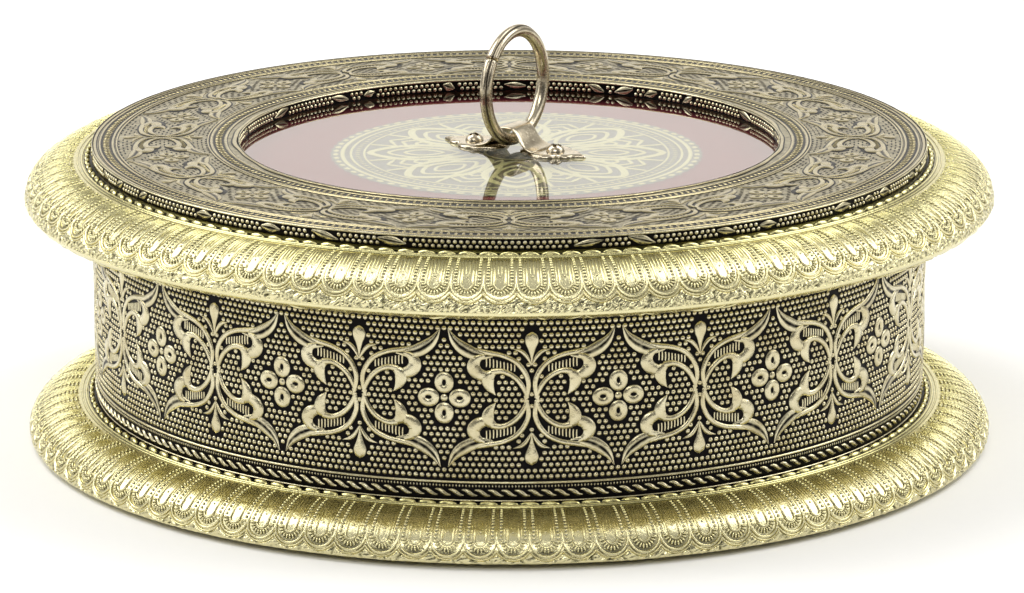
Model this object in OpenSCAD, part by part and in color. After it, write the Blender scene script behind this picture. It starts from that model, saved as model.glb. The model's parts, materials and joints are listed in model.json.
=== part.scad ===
// Round spice box (masala dabba): a foil-covered drum with turned mouldings, a lift-off
// lid with a glazed centre and a folding ring pull, seven metal cups and a spoon inside.
// Origin: centre of the underside. +Z up, -Y is the front.

/* [Box] */
// Outside diameter of the drum, over its foil band
drum_d = 198; // [165:1:240]
// Height of the drum wall, from the base disc to the rim that carries the lid
drum_h = 44.8; // [36:0.2:70]
// Thickness of the drum wall under the foil
wall_t = 7; // [5:0.5:9]
// Thickness of the embossed foil on every outside face
foil_t = 0.3; // [0.2:0.05:0.5]
// Thickness of the velvet that lines the inside
lining_t = 0.6; // [0.4:0.1:1]

/* [Mouldings] */
// How far the two edge mouldings stand out past the drum
mould_out = 16; // [8:0.5:22]
// Width of the flat ledge at the top of each moulding, from the drum's face outwards
ledge_w = 2.8; // [1.5:0.1:4]
// Thickness of the base disc
base_h = 10.6; // [8:0.2:16]
// Height of the base moulding's widest line above the table
base_belly_z = 2; // [1.5:0.1:4]
// How far the base's underside tucks in under its moulding
base_tuck_w = 6; // [3:0.5:12]
// Height of the lid's moulding, from its underside to its ledge
lid_mould_h = 12.4; // [10:0.2:18]
// Height of the lid moulding's widest line above the lid's underside
lid_belly_z = 2.9; // [2:0.1:6]
// How far the lid's underside tucks in under its moulding
lid_tuck_w = 12; // [3:0.5:13]

/* [Felt] */
// Thickness of the felt disc under the base
felt_t = 1.2; // [0.8:0.1:2]
// How far the felt stands out below the base
felt_proud = 0.3; // [0.1:0.1:0.6]
// Width of the rim of foil left showing round the felt
felt_rim = 4; // [2:0.5:8]

/* [Lid] */
// Step from the moulding's ledge up to the seat of the top ring
seat_step = 0.7; // [0.5:0.1:2]
// Thickness of the top ring board
board_t = 2.7; // [2:0.1:4]
// Diameter of the glazed opening in the top ring
opening_d = 129; // [96:1:150]
// Depth of the rim under the lid that drops into the drum
spigot_h = 5.5; // [4:0.5:9]
// Thickness of that rim
spigot_t = 6; // [4:0.5:8]
// Clearance between that rim and the lined drum, on the radius
spigot_gap = 0.5; // [0.3:0.05:1]

/* [Glass] */
// Thickness of the glass pane
glass_t = 2; // [1.5:0.5:4]
// How far the pane reaches under the top ring, on the radius
glass_lap = 3.5; // [2:0.5:8]
// Clearance between the pane's edge and its recess, on the radius
glass_gap = 0.3; // [0.2:0.05:0.6]
// Diameter of the embossed medallion under the glass
medallion_d = 89.5; // [60:0.5:89.5]
// Thickness of the medallion's foil
medallion_t = 0.2; // [0.1:0.05:0.4]
// How far the medallion was glued off the lid's centre, along X
medallion_x = 1.7; // [-3:0.1:3]
// How far the medallion was glued off the lid's centre, along Y
medallion_y = 4; // [-5:0.1:5]

/* [Ring pull] */
// Diameter of the pull ring at the middle of its wire
pull_d = 26; // [20:0.5:32]
// Diameter of the wire
wire_d = 3; // [2:0.1:4]
// Length of the barrel that holds the ring
barrel_l = 8.5; // [6:0.1:10]
// Clearance between the wire and the barrel
barrel_gap = 0.25; // [0.15:0.05:0.5]
// Thickness of the pull's sheet metal
plate_t = 0.8; // [0.6:0.1:1.2]
// Distance between the two screws
screw_pitch = 22.6; // [19:0.2:28]
// Diameter of the screw heads
head_d = 4.4; // [3.5:0.1:5]
// Height of the screw heads
head_h = 1.8; // [1.2:0.1:2.2]
// Diameter of the screw shanks
shank_d = 2.2; // [1.8:0.1:2.6]
// Length of the screws under their heads
screw_l = 12; // [9:0.5:13]
// Angle of the plate's long axis from +X
pull_turn = -31.5; // [-90:0.5:90]
// How far the pull sits from the lid's centre, along X
pull_x = 1.3; // [0:0.1:3]

/* [Cups] */
// Gap between neighbouring cups, and between the cups and the lining
cup_gap = 2.2; // [1:0.1:4]
// Gap between the tops of the cups and the lid's rim
cup_headroom = 3.5; // [2.5:0.1:6]
// Thickness of the cups' sheet metal
cup_t = 0.7; // [0.5:0.1:1.2]
// Radius of the rolled bead round each cup's mouth
cup_bead_r = 1; // [0.8:0.1:1.4]
// Radius of each cup's bottom corner
cup_corner_r = 4; // [2:0.5:8]

/* [Spoon] */
// Length of the spoon's handle
handle_l = 66; // [50:1:70]
// Width of the handle's far end
handle_w = 7; // [5:0.5:10]
// Diameter of the spoon's bowl
bowl_d = 22; // [16:0.5:24]
// Depth of the spoon's bowl
bowl_depth = 5.4; // [3:0.1:6]
// Thickness of the spoon's metal
spoon_t = 1.2; // [0.8:0.1:1.6]

/* [Hidden] */
$fn = 128;

// Radii, from the drum's face inwards and outwards
drum_r = drum_d / 2;
wall_r = drum_r - foil_t;
bore_r = wall_r - wall_t;
lined_r = bore_r - lining_t;
ledge_r = drum_r + ledge_w;
mould_r = drum_r + mould_out;
base_tuck_r = mould_r - base_tuck_w;
lid_tuck_r = mould_r - lid_tuck_w;
opening_r = opening_d / 2;
glass_r = opening_r + glass_lap;
recess_r = glass_r + glass_gap;
spigot_r = lined_r - spigot_gap;
felt_r = base_tuck_r - felt_rim;

// Heights, from the table upwards
lid_z = base_h + drum_h;
ledge_z = lid_z + lid_mould_h;
seat_z = ledge_z + seat_step;
glass_z = seat_z - glass_t;
medallion_z = glass_z - medallion_t;
recess_z = medallion_z - lining_t;
board_top_z = seat_z + board_t;
floor_z = base_h + lining_t;
spigot_z = lid_z - spigot_h;

// The pull: its barrel clears the wire's curve over the barrel's whole length
pull_r = pull_d / 2;
wire_r = wire_d / 2;
wire_rise = pull_r - sqrt(pow(pull_r, 2) - pow(barrel_l / 2, 2));
barrel_r = wire_r + wire_rise + barrel_gap;
pivot_z = seat_z + plate_t + wire_r + barrel_gap;
screw_x = screw_pitch / 2;
screw_hole_r = shank_d / 2 + 0.3;
pilot_r = shank_d / 2 + 0.05;

// Cups: one in the middle and six round it, all touching distance apart by cup_gap
cup_r = (lined_r - 2 * cup_gap) / 3;
cup_ring_r = 2 * cup_r + cup_gap;
cup_h = drum_h - lining_t - spigot_h - cup_headroom;
cup_top_z = floor_z + cup_h;

// Spoon: its handle stops a cup_gap short of the lining in a small box
handle_end = min(bowl_d / 2 + handle_l, lined_r - cup_gap - handle_w / 2);

// Points of a quarter ellipse about [cx, cz] with half-axes a and b, from angle t0 to t1
function arc_points(cx, cz, a, b, t0, t1, n = 14) =
  [for (i = [0 : n]) let (t = t0 + (t1 - t0) * i / n) [cx + a * cos(t), cz + b * sin(t)]];

// Outline of a moulding from its ledge, over its belly, to its tuck; inset moves it inwards
function moulding_outline(top_z, belly_z, foot_z, tuck_r, inset) = concat(
  arc_points(ledge_r, belly_z, mould_r - ledge_r - inset, top_z - belly_z - inset, 90, 0),
  arc_points(tuck_r, belly_z, mould_r - tuck_r - inset, belly_z - foot_z - inset, 0, -90)
);

function reversed(p) = [for (i = [len(p) - 1 : -1 : 0]) p[i]];

module tube(r_out, r_in, h) {
  difference() {
    cylinder(r = r_out, h = h);
    translate([0, 0, -1]) cylinder(r = r_in, h = h + 2);
  }
}

// Solid disc with a moulded edge, from z = foot_z to z = top_z
module moulded_disc(top_z, belly_z, foot_z, tuck_r) {
  rotate_extrude()
    polygon(concat([[0, top_z - foil_t]], moulding_outline(top_z, belly_z, foot_z, tuck_r, foil_t),
      [[0, foot_z + foil_t]]));
}

// Skin over a moulded edge; in_top and in_foot are where it ends on the ledge and underneath
module moulding_skin(top_z, belly_z, foot_z, tuck_r, in_top, in_foot) {
  rotate_extrude()
    polygon(concat(
      [[in_top, top_z - foil_t], [in_top, top_z]],
      moulding_outline(top_z, belly_z, foot_z, tuck_r, 0),
      [[in_foot, foot_z], [in_foot, foot_z + foil_t]],
      reversed(moulding_outline(top_z, belly_z, foot_z, tuck_r, foil_t))
    ));
}

// Places its children in the frame of the ring pull: X along the plate, Y along the hinge
module at_pull(z) {
  translate([pull_x, 0, z]) rotate([0, 0, pull_turn]) children();
}

module screw_holes(r, z, h) {
  at_pull(z)
    for (side = [-1, 1])
      translate([side * screw_x, 0, 0]) cylinder(r = r, h = h, $fn = 32);
}

module base_core() {
  color("burlywood") difference() {
    moulded_disc(base_h, base_belly_z, felt_proud, base_tuck_r);
    translate([0, 0, -1]) cylinder(r = felt_r, h = felt_t + 1);
    translate([0, 0, base_h - foil_t]) cylinder(r = wall_r, h = 1);
  }
  // The disc's middle runs up to the full height, inside the foil's edge
  color("burlywood") translate([0, 0, felt_t]) cylinder(r = drum_r, h = base_h - felt_t);
}

module base_edge_foil() {
  color("khaki")
    moulding_skin(base_h, base_belly_z, felt_proud, base_tuck_r, drum_r, felt_r);
}

module base_felt() {
  color("maroon") cylinder(r = felt_r, h = felt_t);
}

module drum_wall() {
  color("burlywood") translate([0, 0, base_h]) tube(wall_r, bore_r, drum_h);
}

module drum_band() {
  color("darkkhaki") translate([0, 0, base_h]) tube(drum_r, wall_r, drum_h);
}

module wall_lining() {
  color("maroon") translate([0, 0, floor_z]) tube(bore_r, lined_r, drum_h - lining_t);
}

module floor_lining() {
  color("maroon") translate([0, 0, base_h]) cylinder(r = bore_r, h = lining_t);
}

module lid_core() {
  color("burlywood") difference() {
    union() {
      moulded_disc(ledge_z, lid_z + lid_belly_z, lid_z, lid_tuck_r);
      translate([0, 0, lid_z]) cylinder(r = drum_r, h = seat_z - lid_z);
    }
    translate([0, 0, recess_z]) cylinder(r = recess_r, h = seat_z);
    screw_holes(pilot_r, seat_z + plate_t - screw_l - 0.5, screw_l);
  }
}

module lid_edge_foil() {
  color("khaki")
    moulding_skin(ledge_z, lid_z + lid_belly_z, lid_z, lid_tuck_r, drum_r, drum_r);
}

module lid_spigot() {
  color("burlywood") translate([0, 0, spigot_z]) tube(spigot_r, spigot_r - spigot_t, spigot_h);
}

module lid_lining() {
  color("maroon") translate([0, 0, lid_z - lining_t])
    cylinder(r = spigot_r - spigot_t, h = lining_t);
}

module top_ring_board() {
  color("burlywood") translate([0, 0, seat_z])
    tube(drum_r - foil_t, opening_r + foil_t, board_t);
}

module top_ring_foil() {
  color("darkkhaki") translate([0, 0, board_top_z]) tube(drum_r, opening_r, foil_t);
}

module top_ring_edge_strip() {
  color("dimgray") translate([0, 0, seat_z]) tube(drum_r, drum_r - foil_t, board_t);
}

module opening_edge_strip() {
  color("dimgray") translate([0, 0, seat_z]) tube(opening_r + foil_t, opening_r, board_t);
}

module glass_pane() {
  color("lightblue", 0.4) difference() {
    translate([0, 0, glass_z]) cylinder(r = glass_r, h = glass_t);
    screw_holes(screw_hole_r, glass_z - 1, glass_t + 2);
  }
}

module medallion() {
  color("palegoldenrod") difference() {
    translate([medallion_x, medallion_y, medallion_z]) cylinder(d = medallion_d, h = medallion_t);
    screw_holes(screw_hole_r, medallion_z - 1, medallion_t + 2);
  }
}

module backing_velvet() {
  color("maroon") difference() {
    translate([0, 0, recess_z]) cylinder(r = glass_r, h = lining_t);
    screw_holes(screw_hole_r, recess_z - 1, lining_t + 2);
  }
}

// One butterfly ear of the plate: a neck, two side lobes and a pointed tip round the screw
module ear_outline() {
  neck_w = barrel_l + 6;
  corner_r = 2;
  lobe_r = 4;
  lobe_x = screw_x - 0.5;
  lobe_y = 5.2;
  tip_x = screw_x + head_d + 3.8;
  arc_x = screw_x - 1;
  arc_y = 5.5;
  arc_r = sqrt(pow(tip_x - arc_x, 2) + pow(arc_y, 2));
  translate([0, -neck_w / 2]) square([screw_x - lobe_r, neck_w]);
  for (side = [-1, 1])
    translate([screw_x - lobe_r, side * (neck_w / 2 - corner_r)]) circle(r = corner_r, $fn = 32);
  for (side = [-1, 1])
    translate([lobe_x, side * lobe_y]) circle(r = lobe_r, $fn = 48);
  // The tip is the overlap of two wide circles, which meet in a point on the long axis
  intersection_for(side = [-1, 1])
    translate([arc_x, -side * arc_y]) circle(r = arc_r);
}

module pull_plate() {
  barrel_out_r = barrel_r + plate_t;
  pivot_h = pivot_z - seat_z;
  color("silver") at_pull(seat_z) difference() {
    union() {
      linear_extrude(plate_t)
        for (turn = [0, 180]) rotate(turn) ear_outline();
      translate([0, barrel_l / 2, pivot_h]) rotate([90, 0, 0])
        cylinder(r = barrel_out_r, h = barrel_l, $fn = 64);
      translate([-barrel_out_r, -barrel_l / 2, 0])
        cube([2 * barrel_out_r, barrel_l, pivot_h]);
    }
    translate([0, barrel_l, pivot_h]) rotate([90, 0, 0])
      cylinder(r = barrel_r, h = 2 * barrel_l, $fn = 64);
    translate([-barrel_r, -barrel_l, -1]) cube([2 * barrel_r, 2 * barrel_l, pivot_h + 1]);
    translate([-2 * barrel_out_r, -barrel_l, -5]) cube([4 * barrel_out_r, 2 * barrel_l, 5]);
    for (side = [-1, 1])
      translate([side * screw_x, 0, -1]) cylinder(r = screw_hole_r, h = 5, $fn = 32);
  }
}

// Pan-head screw standing on z = 0, its shank below
module pan_screw() {
  dome_r = (pow(head_d / 2, 2) + pow(head_h, 2)) / (2 * head_h);
  slot_l = head_d * 0.64;
  slot_w = 0.9;
  slot_z = head_h * 0.4;
  difference() {
    union() {
      intersection() {
        translate([0, 0, head_h - dome_r]) sphere(r = dome_r, $fn = 48);
        cylinder(d = head_d, h = head_h, $fn = 48);
      }
      translate([0, 0, -screw_l]) cylinder(d = shank_d, h = screw_l, $fn = 24);
    }
    for (turn = [0, 90])
      rotate([0, 0, turn]) translate([-slot_l / 2, -slot_w / 2, slot_z])
        cube([slot_l, slot_w, head_h]);
  }
}

module pull_screws() {
  color("silver") at_pull(seat_z + plate_t)
    for (side = [-1, 1]) translate([side * screw_x, 0, 0]) rotate(20 * side) pan_screw();
}

module pull_ring() {
  color("silver") at_pull(pivot_z + pull_r) rotate([90, 0, 90])
    rotate_extrude() translate([pull_r, 0]) circle(r = wire_r, $fn = 32);
}

// Outline of a drawn cup: outside up to the rolled bead, and back down the inside
module cup_section() {
  polygon(concat(
    [[0, 0]],
    arc_points(cup_r - cup_bead_r - cup_corner_r, cup_corner_r, cup_corner_r, cup_corner_r, -90, 0),
    [[cup_r - cup_bead_r, cup_h - cup_bead_r], [cup_r - cup_bead_r - cup_t, cup_h - cup_bead_r]],
    arc_points(cup_r - cup_bead_r - cup_corner_r, cup_corner_r, cup_corner_r - cup_t,
      cup_corner_r - cup_t, 0, -90),
    [[0, cup_t]]
  ));
  translate([cup_r - cup_bead_r, cup_h - cup_bead_r]) circle(r = cup_bead_r, $fn = 24);
}

module cup(x, y) {
  color("gainsboro") translate([x, y, floor_z]) rotate_extrude() cup_section();
}

module ring_cup(i) {
  turn = 60 * i;
  cup(cup_ring_r * cos(turn), cup_ring_r * sin(turn));
}

// The bowl is a thin cap of a sphere that dips into the middle cup
module spoon() {
  cap_r = (pow(bowl_d / 2, 2) + pow(bowl_depth, 2)) / (2 * bowl_depth);
  rest_z = cup_top_z;
  color("gainsboro") translate([0, 0, rest_z]) {
    difference() {
      translate([0, 0, cap_r - bowl_depth + spoon_t]) sphere(r = cap_r);
      translate([0, 0, cap_r - bowl_depth + spoon_t]) sphere(r = cap_r - spoon_t);
      translate([-cap_r, -cap_r, spoon_t]) cube([2 * cap_r, 2 * cap_r, 2 * cap_r]);
    }
    linear_extrude(spoon_t) {
      polygon([[bowl_d / 2 - 1.2, -2], [handle_end, -handle_w / 2],
        [handle_end, handle_w / 2], [bowl_d / 2 - 1.2, 2]]);
      translate([handle_end, 0]) circle(d = handle_w, $fn = 48);
    }
  }
}

base_core();
base_edge_foil();
base_felt();
drum_wall();
drum_band();
wall_lining();
floor_lining();
lid_core();
lid_edge_foil();
lid_spigot();
lid_lining();
top_ring_board();
top_ring_foil();
top_ring_edge_strip();
opening_edge_strip();
glass_pane();
medallion();
backing_velvet();
pull_plate();
pull_screws();
pull_ring();
cup(0, 0);  // cup_centre
ring_cup(0);  // cup_1
ring_cup(1);  // cup_2
ring_cup(2);  // cup_3
ring_cup(3);  // cup_4
ring_cup(4);  // cup_5
ring_cup(5);  // cup_6
spoon();
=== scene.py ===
"""Round spice box with embossed foil mouldings, a blackened foil band and a glazed lid.

Every new piece is a surface computed with numpy in millimetres and written to its mesh in metres.
A pattern is drawn flat first, as x along the piece, y across it and h out of it, and then laid on
the drum, a moulding's profile, a flat ring or a disc.
"""

import json
import math
from typing import NamedTuple

import bpy
import numpy as np
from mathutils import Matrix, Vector


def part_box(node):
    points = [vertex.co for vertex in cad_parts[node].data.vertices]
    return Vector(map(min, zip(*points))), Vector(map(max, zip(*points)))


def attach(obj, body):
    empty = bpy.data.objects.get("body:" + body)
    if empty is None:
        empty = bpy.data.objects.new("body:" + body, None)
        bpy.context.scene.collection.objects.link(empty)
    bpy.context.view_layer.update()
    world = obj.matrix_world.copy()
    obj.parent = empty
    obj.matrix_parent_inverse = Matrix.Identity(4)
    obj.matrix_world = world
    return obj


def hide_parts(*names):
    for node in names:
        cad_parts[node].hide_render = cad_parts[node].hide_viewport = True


bl_info = {
    "name": "Foil-covered spice box",
    "version": (1, 0, 0),
    "blender": (4, 5, 0),
    "location": "3D View > Sidebar > Spice Box",
    "description": "Builds the embossed foils, glass, ring pull and stage of a round spice box",
    "category": "Add Mesh",
}

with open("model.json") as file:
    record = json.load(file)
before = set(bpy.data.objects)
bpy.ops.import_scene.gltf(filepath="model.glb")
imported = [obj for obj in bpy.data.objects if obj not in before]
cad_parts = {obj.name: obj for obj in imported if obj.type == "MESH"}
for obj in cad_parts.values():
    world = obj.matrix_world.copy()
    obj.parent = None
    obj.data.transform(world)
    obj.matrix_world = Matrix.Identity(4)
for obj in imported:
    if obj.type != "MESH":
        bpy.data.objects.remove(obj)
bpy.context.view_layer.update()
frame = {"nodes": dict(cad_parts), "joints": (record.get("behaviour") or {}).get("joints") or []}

MM = 0.001
TAU = 2 * math.pi


def node_size(node):
    """Radius, lowest height and highest height of a round CAD node, in millimetres."""
    low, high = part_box(node)
    return high.x / MM, low.z / MM, high.z / MM


DRUM_R, DRUM_Z0, DRUM_Z1 = node_size("drum_band")
BELLY_R, BASE_FOOT_Z, BASE_LEDGE_Z = node_size("base_edge_foil")
LID_FOOT_Z, LID_LEDGE_Z = node_size("lid_edge_foil")[1:]
BOARD_R, BOARD_Z0, BOARD_Z1 = node_size("top_ring_edge_strip")
OPENING_R = node_size("opening_edge_strip")[0] - (DRUM_R - node_size("drum_wall")[0])
TOP_Z = node_size("top_ring_foil")[2]
# The ring's own foil lies a little below, so that its relief ends at the CAD foil's top
FACE_Z = TOP_Z - 0.25
FELT_R = node_size("base_felt")[0]


def linear(code):
    """The linear colour of an sRGB hex code."""
    srgb = np.array([int(code[i : i + 2], 16) for i in (1, 3, 5)]) / 255
    return tuple(np.where(srgb <= 0.04045, srgb / 12.92, ((srgb + 0.055) / 1.055) ** 2.4))


# ---------------------------------------------------------------- settings


def length(name, description, millimetres, low=0.0, high=0.3):
    """A length property whose default is given in millimetres."""
    return bpy.props.FloatProperty(
        name=name,
        description=description,
        default=millimetres * MM,
        min=low,
        max=high,
        unit="LENGTH",
        precision=5,
    )


def tint(name, description, code):
    """A colour property whose default is given as an sRGB hex code."""
    return bpy.props.FloatVectorProperty(
        name=name,
        description=description,
        default=linear(code),
        min=0.0,
        max=1.0,
        size=3,
        subtype="COLOR",
    )


class SpiceBoxSizes(bpy.types.PropertyGroup):
    ledge_width: length("Ledge width", "Flat ledge between the drum and each moulding", 2.8)
    base_belly: length("Base belly", "Height of the base moulding's widest line", 2.0)
    base_tuck: length("Base tuck", "How far the base's underside tucks in", 6.0)
    lid_belly: length("Lid belly", "Height of the lid moulding's widest line above its foot", 2.9)
    lid_tuck: length("Lid tuck", "How far the lid's underside tucks in", 12.0)
    flutes: bpy.props.IntProperty(
        name="Flutes", description="U-shaped flutes round each moulding", default=98, min=24, max=160
    )
    arabesques: bpy.props.IntProperty(
        name="Arabesques", description="Repeats of the drum's leaf scroll", default=16, min=8, max=24
    )
    dots_per_repeat: bpy.props.IntProperty(
        name="Dots per repeat", description="Dots in one row of one repeat", default=27, min=9, max=40
    )
    dot_row: length("Dot row spacing", "Spacing of the rows of dots up the drum", 1.358)
    dot_radius: length("Dot radius", "Radius of one raised dot", 0.62)
    pinch_height: length("Pinch height", "Height of the scroll's middle above the table", 34.7)
    rope_turns: bpy.props.IntProperty(
        name="Rope strands", description="Strands of the drum's rope", default=211, min=60, max=400
    )
    ledge_beads: bpy.props.IntProperty(
        name="Ledge beads", description="Long beads round each ledge", default=138, min=60, max=400
    )
    ring_repeats: bpy.props.IntProperty(
        name="Ring repeats", description="Scrolls round the lid's flat ring", default=12, min=6, max=24
    )
    pull_gap: length("Ring gap", "Gap where the ends of the pull's wire meet", 0.5)


class SpiceBoxColours(bpy.types.PropertyGroup):
    gold: tint("Gold foil", "Lacquered gold of the mouldings", "#D0C890")
    # Painted reflection: the cream band that the foil shows where the mouldings are widest
    gold_belly_reflection: tint("Gold foil, worn", "Cream gold where the mouldings are widest", "#DDD5A8")
    # Olive tarnish with painted shade in the stamped hollows of the gold foil
    gold_tarnish_and_shade: tint("Gold foil, hollows", "Olive in the stamped hollows", "#4C4826")
    old_gold: tint("Rubbed gold", "Raised metal of the blackened foil", "#D8D0B0")
    old_gold_low: tint("Rubbed gold, aged", "Duller patches of the raised metal", "#A2915E")
    ring_gold: tint("Ring foil", "Raised metal of the lid ring's foil", "#B3A884")
    ring_gold_low: tint("Ring foil, aged", "Duller patches of the lid ring's foil", "#8F8460")
    black: tint("Blackening", "Lacquer in the hollows of the blackened foil", "#0C0908")
    velvet: tint("Velvet", "Maroon velvet paper", "#7E1224")
    medallion: tint("Medallion", "Raised lines of the foil under the glass", "#BDB27A")
    medallion_low: tint("Medallion, hollows", "Tarnish between those lines", "#473E26")
    nickel: tint("Nickel", "Worn nickel of the ring pull", "#C3B79F")
    steel: tint("Steel", "Spun steel of the cups", "#C9CACC")
    board: tint("Board", "Raw fibreboard", "#A98258")
    floor: tint("Floor", "Pale studio floor", "#F2F1EE")


def sizes():
    return bpy.context.scene.spice_box_sizes


def colours():
    return bpy.context.scene.spice_box_colours


# ---------------------------------------------------------------- flat patterns


class Patch(NamedTuple):
    """A flat piece of relief: points (x, y, h), hollow 0 on tops to 1 in hollows, and faces."""

    points: np.ndarray
    hollow: np.ndarray
    quads: np.ndarray
    tris: np.ndarray


NO_FACES = {"quads": np.zeros((0, 4), int), "tris": np.zeros((0, 3), int)}
# Cross-sections of a ridge, right edge to left: share of half-width, share of height, hollow. The hollow
# darkens a ridge's edges: black lacquer on the blackened foils, painted shade on the gold foil
ROUND = ((-1, 0, 1), (-0.66, 0.8, 0.15), (0, 1, 0), (0.66, 0.8, 0.15), (1, 0, 1))
VEINED = ((-1, 0, 1), (-0.72, 0.95, 0), (-0.1, 0.6, 0.75), (0.1, 0.6, 0.75), (0.72, 0.95, 0), (1, 0, 1))
FLAT = ((-1, 0, 1), (-0.8, 0.9, 0), (0, 1, 0), (0.8, 0.9, 0), (1, 0, 1))
GROOVED = ((-1.55, 0.08, 1), (-0.95, 0.08, 1), (-0.7, 0.9, 0), (0, 1, 0), (0.7, 0.9, 0), (0.95, 0.08, 1),
           (1.55, 0.08, 1))
SOFT = ((-1, 0, 0.5), (-0.66, 0.8, 0.08), (0, 1, 0), (0.66, 0.8, 0.08), (1, 0, 0.5))
# A low dark band: black lacquer on the lid ring, painted shade round the ends of the flutes
BLACKING_AND_SHADE = ((-1, 0.05, 0.4), (-0.7, 0.05, 1), (0.7, 0.05, 1), (1, 0.05, 0.4))
# How far an edge of relief sinks into the foil below it
SINK = 0.03


def join(patches):
    """One patch from several."""
    start = np.cumsum([0] + [len(p.points) for p in patches[:-1]])
    return Patch(
        np.concatenate([p.points for p in patches]),
        np.concatenate([p.hollow for p in patches]),
        np.concatenate([p.quads + s for p, s in zip(patches, start)]),
        np.concatenate([p.tris + s for p, s in zip(patches, start)]),
    )


def mirrored(patch, axis):
    """The patch reflected across x = 0 (axis 0) or y = 0 (axis 1), its faces turned back out."""
    points = patch.points.copy()
    points[:, axis] *= -1
    return Patch(points, patch.hollow, patch.quads[:, ::-1], patch.tris[:, ::-1])


def moved(patch, x, y=0.0):
    return patch._replace(points=patch.points + np.array([x, y, 0.0]))


def repeated(patch, count, pitch):
    """count copies of the patch, each one pitch further along x."""
    size = len(patch.points)
    k = np.arange(count)
    shift = np.stack([k * pitch, 0 * k, 0 * k], 1)[:, None, :]
    return Patch(
        (patch.points[None] + shift).reshape(-1, 3),
        np.tile(patch.hollow, count),
        (patch.quads[None] + (k * size)[:, None, None]).reshape(-1, 4),
        (patch.tris[None] + (k * size)[:, None, None]).reshape(-1, 3),
    )


def curve(rows, count, closed=False):
    """Catmull-Rom curve through rows of numbers, count rows long: a cubic through each pair whose
    slopes are half the step between the neighbours, with the end rows carried on straight."""
    p = np.asarray(rows, float)
    if closed:
        p = np.vstack([p[-1], p, p[:2]])
    else:
        p = np.vstack([2 * p[0] - p[1], p, 2 * p[-1] - p[-2]])
    t = np.linspace(0, len(p) - 3, count, endpoint=not closed)
    i = np.minimum(t.astype(int), len(p) - 4)
    f = (t - i)[:, None]
    a, b, c, d = p[i], p[i + 1], p[i + 2], p[i + 3]
    return 0.5 * (
        2 * b + (c - a) * f + (2 * a - 5 * b + 4 * c - d) * f**2 + (3 * b - a - 3 * c + d) * f**3
    )


def ridge(rows, count=12, section=ROUND, closed=False):
    """A raised line. rows are (x, y, width, height); the cross-section is carried along the curve
    through them, standing square to it, scaled by half the width and by the height."""
    c = curve(rows, count, closed)
    along = np.roll(c, -1, 0) - np.roll(c, 1, 0) if closed else np.gradient(c, axis=0)
    along = along[:, :2] / np.maximum(np.linalg.norm(along[:, :2], axis=1, keepdims=True), 1e-9)
    across = np.stack([-along[:, 1], along[:, 0]], 1)
    half = np.maximum(c[:, 2], 0.06) / 2
    tall = np.maximum(c[:, 3], 0.02)
    s = np.array(section, float)
    flat = c[:, None, :2] + across[:, None, :] * half[:, None, None] * s[None, :, :1]
    rise = tall[:, None] * s[None, :, 1] - SINK * (s[None, :, 1] == 0)
    points = np.concatenate([flat, rise[:, :, None]], 2).reshape(-1, 3)
    steps = np.arange(count if closed else count - 1)
    i, j = np.meshgrid(steps, np.arange(len(s) - 1), indexing="ij")
    k = (i + 1) % count
    w = len(s)
    quads = np.stack([i * w + j, k * w + j, k * w + j + 1, i * w + j + 1], -1).reshape(-1, 4)
    return Patch(points, np.tile(s[:, 2], count), quads, NO_FACES["tris"])


def domes(centres, radius, height, sides=7, stretch=1.0, turn=0.0):
    """Raised dots: at each centre a rim, a shoulder at 0.68 of the radius and 0.78 of the height,
    and a point on top. stretch lengthens them along y, turn (radians) then turns them."""
    centres = np.atleast_2d(np.asarray(centres, float))
    n = len(centres)
    a = np.arange(sides) * TAU / sides
    rim = np.stack([np.cos(a), np.sin(a) * stretch], 1) * radius
    shape = np.vstack([rim, 0.68 * rim, [[0, 0]]])
    turn = np.broadcast_to(turn, n)
    cos, sin = np.cos(turn)[:, None], np.sin(turn)[:, None]
    x = centres[:, :1] + shape[None, :, 0] * cos - shape[None, :, 1] * sin
    y = centres[:, 1:2] + shape[None, :, 0] * sin + shape[None, :, 1] * cos
    level = np.repeat([0.0, 0.78, 1.0], [sides, sides, 1])
    h = np.broadcast_to(level * height - SINK * (level == 0), x.shape)
    size = 2 * sides + 1
    i = np.arange(sides)
    k = (i + 1) % sides
    quads = np.stack([i, k, sides + k, sides + i], 1)
    tris = np.stack([sides + i, sides + k, np.full(sides, 2 * sides)], 1)
    base = (np.arange(n) * size)[:, None, None]
    return Patch(
        np.stack([x, y, h], -1).reshape(-1, 3),
        np.tile(np.repeat([1.0, 0.12, 0.0], [sides, sides, 1]), n),
        (quads[None] + base).reshape(-1, 4),
        (tris[None] + base).reshape(-1, 3),
    )


def ring_line(y, width, height, around, count=480, section=ROUND):
    """A line that runs right round the piece at y; around is the length of one turn along x."""
    x = np.linspace(0, around, count + 1)
    rows = np.stack([x, 0 * x + y, 0 * x + width, 0 * x + height], 1)
    return ridge(rows, count + 1, section)


def circle_rows(x, y, radius, width, height, count=10):
    a = np.arange(count) * TAU / count
    return np.stack([x + radius * np.cos(a), y + radius * np.sin(a), 0 * a + width, 0 * a + height], 1)


def round_row(count, around, y, start=0.0):
    """count centres spread evenly over one turn at y, the first one start of a step along."""
    k = np.arange(count)
    return np.stack([(k + start) * around / count, 0 * k + y], 1)


def lattice(pitch, row, columns, low, high):
    """Centres of a staggered grid: columns dots a row, a row every row millimetres."""
    count = int((high - low) / row + 1e-6) + 1
    k, j = np.meshgrid(np.arange(columns), np.arange(count))
    return np.stack([(k + 0.5 * (j % 2)) * pitch, low + j * row], -1).reshape(-1, 2)


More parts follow.
